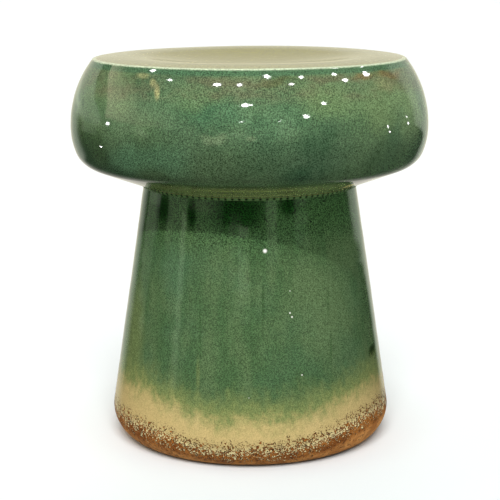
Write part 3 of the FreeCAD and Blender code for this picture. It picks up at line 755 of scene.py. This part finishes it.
def make_world():
    """White behind the stool, and for light and gloss a dim studio with a bright rear and a few tall windows."""
    s = Shader("studio", "worlds")
    nodes, links = s.tree.nodes, s.tree.links
    x, y, z = s.split(s.place)
    azimuth = s.math("ARCTAN2", x, s.math("MULTIPLY", y, -1.0))
    rear = s.smooth(s.math("ABSOLUTE", azimuth), math.radians(142), math.radians(172))
    leaning = s.plus(azimuth, s.times(s.math("MAXIMUM", z, 0.1), 2.3))
    left_high = s.times(s.smooth(leaning, -1.70, -1.63, 1.0, 0.0), s.window(z, 0.04, 0.50, 0.10))
    left_low = s.times(s.smooth(azimuth, math.radians(-148), math.radians(-134), 1.0, 0.0), s.window(z, -0.28, 0.02, 0.06))
    right_edge = s.smooth(s.plus(azimuth, s.smooth(z, -0.16, -0.04, -RIGHT_LEAN, 0.0)), math.radians(124), math.radians(132))
    right_side = s.times(right_edge, s.window(z, -0.25, 0.40, 0.12))
    sides = s.plus(s.times(left_high, LEFT_HIGH), s.times(left_low, LEFT_LOW), s.times(right_side, RIGHT_LEVEL))
    sides = s.times(sides, s.math("SUBTRACT", 1.0, rear))
    curve = s.math("POWER", s.math("MAXIMUM", z, 0.0), 4.0)
    from_edge = s.plus(azimuth, math.radians(106), s.times(curve, 12.0))
    wall = s.times(s.smooth(from_edge, 0.0, 0.06), s.node("MapRange", from_edge, 0.0, 1.35, 1.0, 0.0))
    wall = s.times(wall, s.window(z, 0.15, 0.80, 0.06))
    rear_level = s.plus(s.smooth(z, -0.45, -0.15, REAR_UNDER, REAR_LOW), s.smooth(z, 0.0, 0.2, 0.0, REAR_HIGH - REAR_LOW))
    level = s.plus(FRONT_LEVEL, s.times(wall, WALL_LEVEL), s.times(rear, rear_level), sides)
    garden = 0.0
    for start, end, low, high, slant, strength in WINDOWS:
        turned = s.plus(azimuth, s.times(z, slant))
        pane = s.window(turned, math.radians(start), math.radians(end), 0.03)
        garden = s.plus(garden, s.times(pane, s.window(z, low, high, 0.012), strength))
    colour = s.mix(rear, SIDE_TINT, s.mix(s.window(z, -0.1, 0.45, 0.2), WARM_LIMB, WARM_BACK))
    colour = s.mix(s.math("MINIMUM", s.times(wall, 3.0), 1.0), colour, WARM_WALL)
    colour = s.mix(s.times(garden, 2.0), colour, GARDEN)
    lit = s.node("Background", colour, s.plus(level, garden))
    white = s.node("Background", (1.0, 1.0, 1.0, 1.0), 0.99)
    shown = s.node("LightPath", out="Is Camera Ray")
    links.new(s.node("MixShader", shown, lit, white), nodes["World Output"].inputs["Surface"])
    bpy.context.scene.world = s.owner


def make_floor():
    """A white floor for the camera, and just under it a greyer one that lights the stool from below."""
    for name, height, shade, seen in (("floor", 0.0, 0.9, True), ("floor_bounce", -0.0005, 0.48, False)):
        mesh = bpy.data.meshes.new(name)
        half = 60.0
        mesh.from_pydata([(-half, -half, height), (half, -half, height), (half, half, height), (-half, half, height)],
                         [], [(0, 1, 2, 3)])
        plane = bpy.data.objects.new(name, mesh)
        bpy.context.scene.collection.objects.link(plane)
        s = Shader(name)
        cloud = s.noise(3, detail=2)
        mesh.materials.append(s.finish(s.mix(cloud, (shade * 0.96, shade, shade * 1.02, 1.0), (shade * 0.94, shade * 0.98, shade, 1.0)), 0.9))
        plane.visible_glossy = False
        for kind in ("diffuse", "shadow", "transmission"):
            setattr(plane, "visible_" + kind, not seen)
        plane.visible_camera = seen
        if seen:
            dome = make_lamp("floor_dome", "SUN", (0.0, 0.0, 4.0), FLOOR_DOME, angle=math.pi)
            top = make_lamp("floor_top", "SUN", (0.0, -0.6, 4.0), FLOOR_TOP, aim=(0.0, 0.0, 0.0), angle=0.25)
            front = make_lamp("floor_front", "SUN", (0.0, -4.0, 3.6), FLOOR_FRONT, aim=(0.0, 0.0, 0.0), angle=0.6)
            light_only((dome, top, front), (plane,), "floor_only")
            shaded_by((front,), (pedestal, foot_ring, *pads.values()), "foot_only")
    return plane


CAP_DEEP = srgb(66, 95, 66)
CAP_MID = srgb(94, 119, 86)
CAP_OLIVE = srgb(104, 124, 82)
CAP_TEAL = srgb(68, 112, 84)
# Painted shade for the lower half of the seat's side.
CAP_BELLY_SHADE = (0.46, 0.49, 0.50, 1.0)
CAP_HIGH = (1.0, 0.95, 0.96, 1.0)
CAP_RUST = srgb(98, 94, 72)
UNDER_DEEP = srgb(116, 132, 74)
UNDER_PALE = srgb(138, 150, 94)
CAP_BAND = srgb(68, 99, 72)
DISH_LAND = srgb(158, 157, 120)
DISH_POOL = srgb(134, 128, 56)
DISH_DARK = srgb(112, 118, 66)
# Partly pale thin glaze at the rim, partly a painted highlight.
RIM_PALE_AND_HIGHLIGHT = srgb(200, 214, 180)
DIMPLE_COLOUR = srgb(12, 26, 12)
BEAD_GREEN = srgb(72, 104, 62)
FOOT_DEEP = srgb(70, 97, 62)
FOOT_MID = srgb(84, 107, 71)
# Painted light and reflection for the pedestal's right side.
FOOT_RIGHT_PAINTED_LIGHT = srgb(96, 118, 80)
FOOT_TEAL = srgb(70, 102, 74)
FOOT_YELLOW = srgb(128, 138, 82)
# Deep green of the glaze runs, and at the pedestal's top partly painted shade.
NECK_DEEP_AND_SHADE = srgb(50, 80, 44)
CREAM = srgb(196, 173, 117)
CREAM_BEADS = srgb(255, 240, 184)
CLAY_LIGHT = srgb(222, 156, 84)
CLAY_DARK = srgb(176, 112, 50)
# Partly burnt clay, partly painted shadow beside the glaze beads.
CLAY_BURNT_AND_SHADOW = srgb(46, 18, 0)
CLAY_ZONE = (0.64, 0.52, 0.34, 1.0)
IRON_SPECK = srgb(62, 38, 22)

FLECK = srgb(250, 250, 240)
CHIP = srgb(240, 222, 150)
CAP_DUSK = srgb(72, 92, 54)
CAP_YELLOW = srgb(152, 154, 106)
# Painted reflection on the seat's lower front.
CAP_PAINTED_REFLECTION = srgb(132, 148, 112)
CAP_SHADE = srgb(78, 88, 56)
CAP_STAIN = srgb(40, 76, 44)
CAP_BROWN = srgb(120, 104, 60)
# Painted light for the seat's lower left.
CAP_PAINTED_LIGHT = srgb(112, 152, 112)
# Painted light for the seat's right side.
CAP_RIGHT_PAINTED_LIGHT = srgb(124, 146, 102)
# A real dark mark low on the pedestal, and painted shade in the seat's shadow.
NECK_DARK_MARK_AND_SHADE = srgb(6, 42, 6)

# Places on the cap and the pedestal as the pixels that show them, with half a width and half a height in
# metres, a tint and how much of it there is.
CAP_PATCHES = [
    (262, 122, 0.050, 0.020, CAP_TEAL, 0.15), (215, 118, 0.035, 0.018, CAP_TEAL, 0.2),
    (100, 110, 0.045, 0.020, CAP_DEEP, 0.5), (140, 112, 0.045, 0.016, CAP_DEEP, 0.35), (190, 98, 0.045, 0.018, CAP_OLIVE, 0.3),
    (330, 106, 0.050, 0.028, CAP_OLIVE, 0.5), (378, 106, 0.045, 0.034, CAP_OLIVE, 0.6),
    (88, 142, 0.035, 0.030, CAP_DUSK, 0.5), (120, 84, 0.035, 0.012, CAP_RUST, 0.25),
    (215, 82, 0.050, 0.008, CAP_RUST, 0.5), (272, 84, 0.030, 0.006, CAP_SHADE, 0.8),
    (330, 80, 0.050, 0.006, CAP_RUST, 0.5), (362, 76, 0.020, 0.006, CAP_BROWN, 0.8),
    (388, 71, 0.024, 0.008, CAP_BROWN, 0.8), (384, 84, 0.018, 0.014, CAP_YELLOW, 0.4),
    (157, 92, 0.004, 0.011, CAP_YELLOW, 0.9), (153, 83, 0.005, 0.006, CAP_YELLOW, 0.7),
    (143, 75, 0.010, 0.005, CAP_YELLOW, 0.6),
    # Painted light: two lighter patches on the seat's lower left.
    (125, 158, 0.040, 0.022, CAP_PAINTED_LIGHT, 0.6), (165, 162, 0.040, 0.020, CAP_PAINTED_LIGHT, 0.5),
    # Painted reflections: the first two patches on the next line, pale marks low on the seat's front.
    (213, 139, 0.020, 0.006, CAP_PAINTED_REFLECTION, 0.5), (251, 139, 0.008, 0.004, CAP_PAINTED_REFLECTION, 0.4),
    # Painted light: the first two patches on the next line lighten the seat's right side.
    (410, 120, 0.020, 0.040, CAP_RIGHT_PAINTED_LIGHT, 0.6), (402, 94, 0.030, 0.026, CAP_RIGHT_PAINTED_LIGHT, 0.6), (300, 142, 0.040, 0.014, CAP_DEEP, 0.4), (285, 116, 0.050, 0.020, CAP_DEEP, 0.3),
    (79, 97, 0.003, 0.007, CAP_STAIN, 0.8), (76, 107, 0.004, 0.005, CAP_STAIN, 0.8),
    (83, 103, 0.002, 0.007, CAP_STAIN, 0.6), (88, 120, 0.010, 0.004, CAP_STAIN, 0.4),
]
PEDESTAL_PATCHES = [
    # The first patch on the next line lies on a pale stripe that the pedestal mirrors: partly the glaze's teal, partly
    # a painted reflection.
    (176, 268, 0.030, 0.045, FOOT_TEAL, 0.4), (134, 330, 0.022, 0.080, FOOT_YELLOW, 0.4),
    # Painted light: the first two patches on the next line lighten the pedestal's right side, and the upper one is a
    # painted reflection along its right edge.
    (325, 310, 0.055, 0.080, FOOT_RIGHT_PAINTED_LIGHT, 0.6), (345, 250, 0.030, 0.040, FOOT_RIGHT_PAINTED_LIGHT, 0.4), (372, 350, 0.007, 0.009, NECK_DARK_MARK_AND_SHADE, 1.0),
    (263, 305, 0.0022, 0.035, NECK_DEEP_AND_SHADE, 0.5), (331, 350, 0.0018, 0.025, NECK_DEEP_AND_SHADE, 0.5),
    (328, 300, 0.0018, 0.025, NECK_DEEP_AND_SHADE, 0.4), (200, 330, 0.0018, 0.045, NECK_DEEP_AND_SHADE, 0.5),
    (198, 375, 0.0030, 0.025, FOOT_YELLOW, 0.3), (228, 395, 0.0040, 0.012, FOOT_YELLOW, 0.3),
]
# Painted shade: the darkest spots in the seat's shadow on the pedestal, as pixels with half a width and half a height.
NECK_SHADE_SPOTS = [(238, 212, 0.044, 0.034), (163, 209, 0.014, 0.024), (289, 206, 0.016, 0.016), (192, 214, 0.008, 0.024)]
NECK_CHIPS = [(347, 187, 0.010, 0.0032), (351, 185, 0.008, 0.0030)]
FLECKS = [
    (265, 251, 0.0030), (290, 313, 0.0012), (292, 317, 0.0014), (302, 375, 0.0011), (249, 398, 0.0006),
    (290, 291, 0.0008),
]

PATCH_DEPTH = 0.05
SMALL_PATCH = 0.014
POOL_CENTRE = (0.0, -0.012, 0.0)

CAMERA_PLACE = (0.0, -1.666, 0.549)
CAMERA_TURN = Matrix.Rotation(math.radians(78.48), 3, "X") @ Matrix.Rotation(math.radians(-0.22), 3, "Z")
FOCAL_PIXELS = 1500
WARM_BACK = (1.0, 0.96, 0.76, 1.0)
WARM_LIMB = (1.0, 0.95, 0.86, 1.0)
SIDE_TINT = (0.90, 1.0, 0.82, 1.0)
WARM_WALL = (1.0, 0.84, 0.62, 1.0)
GARDEN = (0.76, 1.0, 0.62, 1.0)
FLOOR_DOME = 0.25
FLOOR_TOP = 0.42
FLOOR_FRONT = 3.75
FRONT_LEVEL = 0.03
WALL_LEVEL = 1.6
LEFT_HIGH = 0.65
LEFT_LOW = 0.5
RIGHT_LEVEL = 0.7
RIGHT_LEAN = 0.36
REAR_UNDER = 0.55
REAR_LOW = 0.85
REAR_HIGH = 0.75
# Windows behind the camera, as the pedestal mirrors them: from and to which azimuth in degrees, lowest and
# highest sine of the elevation, how far the sides lean, and how bright.
WINDOWS = [
    (-94, -70, 0.00, 0.11, 0.0, 0.45), (-72, -67, -0.03, 0.055, 0.6, 0.9), (-57, -28, 0.02, 0.30, 0.0, 0.12),
    (-27, -16, 0.088, 0.112, -1.2, 0.6), (-7, 1, 0.070, 0.098, 0.6, 1.0), (18, 27, 0.095, 0.30, 0.0, 0.7),
    (48, 62, 0.08, 0.30, 0.0, 0.4), (-133, -114, -0.09, 0.0, 0.0, 0.3),
]
KEY_AZIMUTH = -25
KEY_ELEVATION = 43
GLINT_RADIANCE = 90
GLINTS = [
    (154, 70, 0.068), (169, 80, 0.054), (217, 84, 0.081), (239, 84, 0.068), (246, 105, 0.081), (267, 77, 0.068),
    (292, 84, 0.054), (302, 77, 0.054), (334, 75, 0.054), (344, 80, 0.081), (366, 74, 0.081), (325, 103, 0.068),
    (306, 116, 0.068), (107, 124, 0.054), (101, 147, 0.03), (390, 132, 0.02), (388, 126, 0.02), (241, 121, 0.02),
    (241, 104.5, 0.03), (251, 106, 0.03), (406, 117, 0.02), (408, 124, 0.02), (281, 121, 0.015),
]
RIM_GLINTS = [(316, 69.6, 0.08), (332, 68.9, 0.10), (362, 67.2, 0.08)]


disc = make_seat_disc()
bowl = make_seat_bowl()
pedestal = make_pedestal()
rim_coil = make_coil("rim_coil_clay", (section.mouth_radius - JOINT_GAP, section.disc_underside), 0.0)
spigot_end = NECK - SPIGOT_HEIGHT
neck_coil = make_coil(
    "neck_coil_clay", (section.inner_wall(spigot_end) - JOINT_GAP / math.cos(FLARE), spigot_end), FLARE
)
foot_ring = make_foot_ring()
bead = make_neck_bead()
pads = {f"floor_pad_{n}": make_pad(f"floor_pad_{n}") for n in (1, 2, 3, 4)}

make_camera()
SKIN_TREES = [
    BVHTree.FromPolygons([v.co for v in piece.data.vertices], [p.vertices for p in piece.data.polygons])
    for piece in (disc, bowl, pedestal)
]
cap_patches, pedestal_patches = [
    [(mirrored(x, y)[0], (width, PATCH_DEPTH, height), tint, share) for x, y, width, height, tint, share in patches]
    for patches in (CAP_PATCHES, PEDESTAL_PATCHES)
]
shade_spots = [(mirrored(x, y)[0], (width, PATCH_DEPTH, height)) for x, y, width, height in NECK_SHADE_SPOTS]
flecks = [(mirrored(x, y)[0], reach) for x, y, reach in FLECKS]
chips = [(mirrored(x, y)[0], (width, PATCH_DEPTH, height)) for x, y, width, height in NECK_CHIPS]
cap_look = seat_glaze("seat_glaze_look", cap_patches, chips)
bead_look = seat_glaze("bead_glaze_look", [], chips, dimpled=True)
pedestal_look = pedestal_glaze(pedestal_patches, shade_spots, flecks)
clay_look = raw_clay()
rubber_look = pad_rubber()
PIECES = [
    (disc, "seat_disc", "seat_glaze", cap_look), (bowl, "seat_bowl", "seat_glaze", cap_look),
    (bead, "neck_bead", "seat_glaze", bead_look), (pedestal, "pedestal", "pedestal_glaze", pedestal_look),
    (rim_coil, "rim_coil", "raw_clay", clay_look), (neck_coil, "neck_coil", "raw_clay", clay_look),
    (foot_ring, "foot_ring", "raw_clay", clay_look),
    *[(pad, node, "pad_rubber", rubber_look) for node, pad in pads.items()],
]
for piece, node, slot, look in PIECES:
    piece.data.materials.append(look)
    piece.data.materials.append(rubber_look if look == rubber_look else clay_look)
    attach(piece, "root")
    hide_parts(node)


make_world()
bounce = make_floor()
key_turn, key_rise = math.radians(KEY_AZIMUTH), math.radians(KEY_ELEVATION)
key_way = Vector((math.sin(key_turn) * math.cos(key_rise), -math.cos(key_turn) * math.cos(key_rise), math.sin(key_rise)))
target = Vector((0.0, 0.0, 0.3))
lamps = [
    make_lamp("key", "AREA", target + key_way * 2.5, 44, aim=target, glossy=False, shape="DISK", size=0.08),
    make_lamp("side_fill", "AREA", (2.0, -1.5, 0.4), 17, aim=target, glossy=False, shape="DISK", size=1.0),
    make_lamp("right_key", "AREA", (1.1, -1.9, 1.2), 13, aim=target, glossy=False, shape="DISK", size=0.8),
    make_lamp("left_fill", "AREA", (-1.9, -1.6, 0.10), 16, aim=target, glossy=False, shape="DISK", size=1.0),
    make_lamp("back_fill", "AREA", (0.7, 2.2, 0.9), 15, aim=target, glossy=False, shape="DISK", size=1.2),
    make_lamp("top_fill", "AREA", (0.0, -0.6, 2.6), 16, aim=target, glossy=False, shape="DISK", size=1.6),
]
light_only(lamps, [entry[0] for entry in PIECES] + [bounce], "stool_and_bounce")
make_glints()
